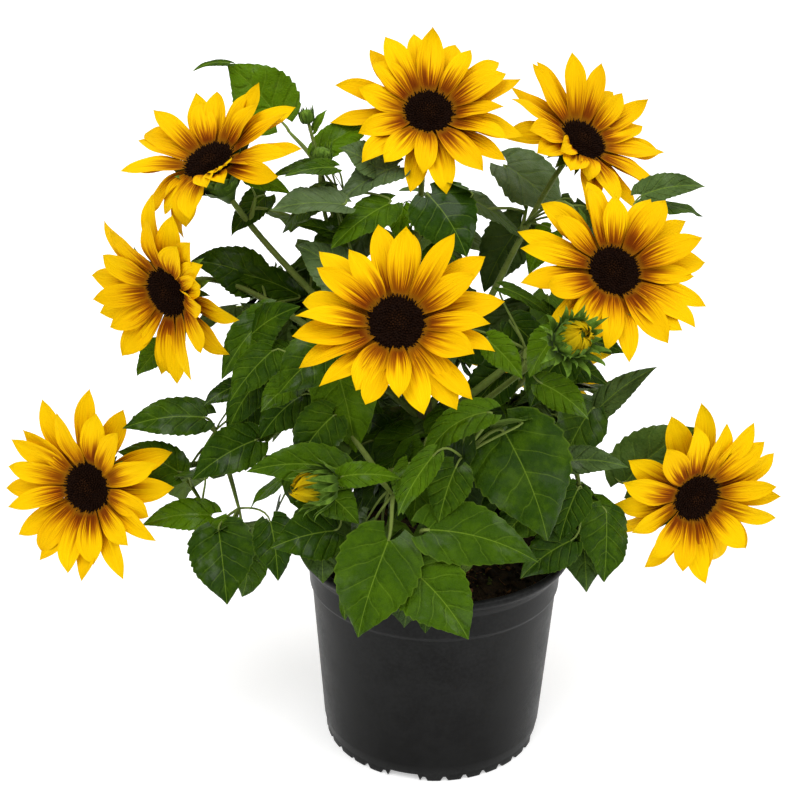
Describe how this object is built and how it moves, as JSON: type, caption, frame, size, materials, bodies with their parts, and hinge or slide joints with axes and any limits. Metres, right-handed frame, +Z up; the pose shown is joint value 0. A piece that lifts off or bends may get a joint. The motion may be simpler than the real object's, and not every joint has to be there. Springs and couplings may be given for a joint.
{
  "type": "potted sunflower plant",
  "caption": "Branching dwarf sunflower in a round black growing pot: leafy crown with open yellow flower heads, half-open buds and hairy side stems.",
  "frame": {"origin": "middle of the pot's flat underside, on the surface it stands on", "axes": "+Z up; -Y is the front, from which most flower heads are seen; +X to the right"},
  "size_m": [0.5204, 0.3495, 0.4707],
  "materials": {
    "pot_plastic": "satin black moulded plastic",
    "soil": "moist dark potting soil with bark and moss",
    "stem": "green hairy stem, brownish on its ribs",
    "leaf": "quilted semi-gloss leaf with pale veins",
    "petal": "satin golden yellow petals, orange brown at the foot, round a dark brown disc",
    "bud": "green hairy bracts with yellow petal tips"
  },
  "bodies": {
    "root": {"bud_front_left": "bud", "bud_front_right": "bud", "bud_top_lower": "bud", "bud_top_upper": "bud", "flower_left": "petal", "flower_low_left": "petal", "flower_low_right": "petal", "flower_middle": "petal", "flower_rear_left": "petal", "flower_rear_right": "petal", "flower_right": "petal", "flower_top": "petal", "flower_upper_left": "petal", "flower_upper_right": "petal", "leaves_core_high": "leaf", "leaves_core_low": "leaf", "leaves_crown_left": "leaf", "leaves_crown_right": "leaf", "leaves_front_left": "leaf", "leaves_front_right": "leaf", "leaves_inner_left": "leaf", "leaves_middle_left": "leaf", "leaves_middle_right": "leaf", "leaves_rear_left": "leaf", "leaves_rear_middle": "leaf", "leaves_rear_right": "leaf", "leaves_rear_skirt_left": "leaf", "leaves_rear_skirt_right": "leaf", "leaves_shelf_left": "leaf", "leaves_shelf_low_left": "leaf", "leaves_shoulder_left": "leaf", "leaves_shoulder_right": "leaf", "leaves_side_left": "leaf", "leaves_side_right": "leaf", "leaves_skirt_front_left": "leaf", "leaves_skirt_front_right": "leaf", "leaves_skirt_left": "leaf", "leaves_skirt_right": "leaf", "leaves_tip_right": "leaf", "leaves_tip_upper_left": "leaf", "main_stem": "stem", "pot": "pot_plastic", "potting_soil": "soil", "stem_front_left": "stem", "stem_front_right": "stem", "stem_left": "stem", "stem_low_left": "stem", "stem_low_right": "stem", "stem_middle": "stem", "stem_rear_left": "stem", "stem_rear_right": "stem", "stem_right": "stem", "stem_top": "stem", "stem_top_lower": "stem", "stem_top_upper": "stem", "stem_upper_left": "stem", "stem_upper_right": "stem"}
  },
  "joints": []
}
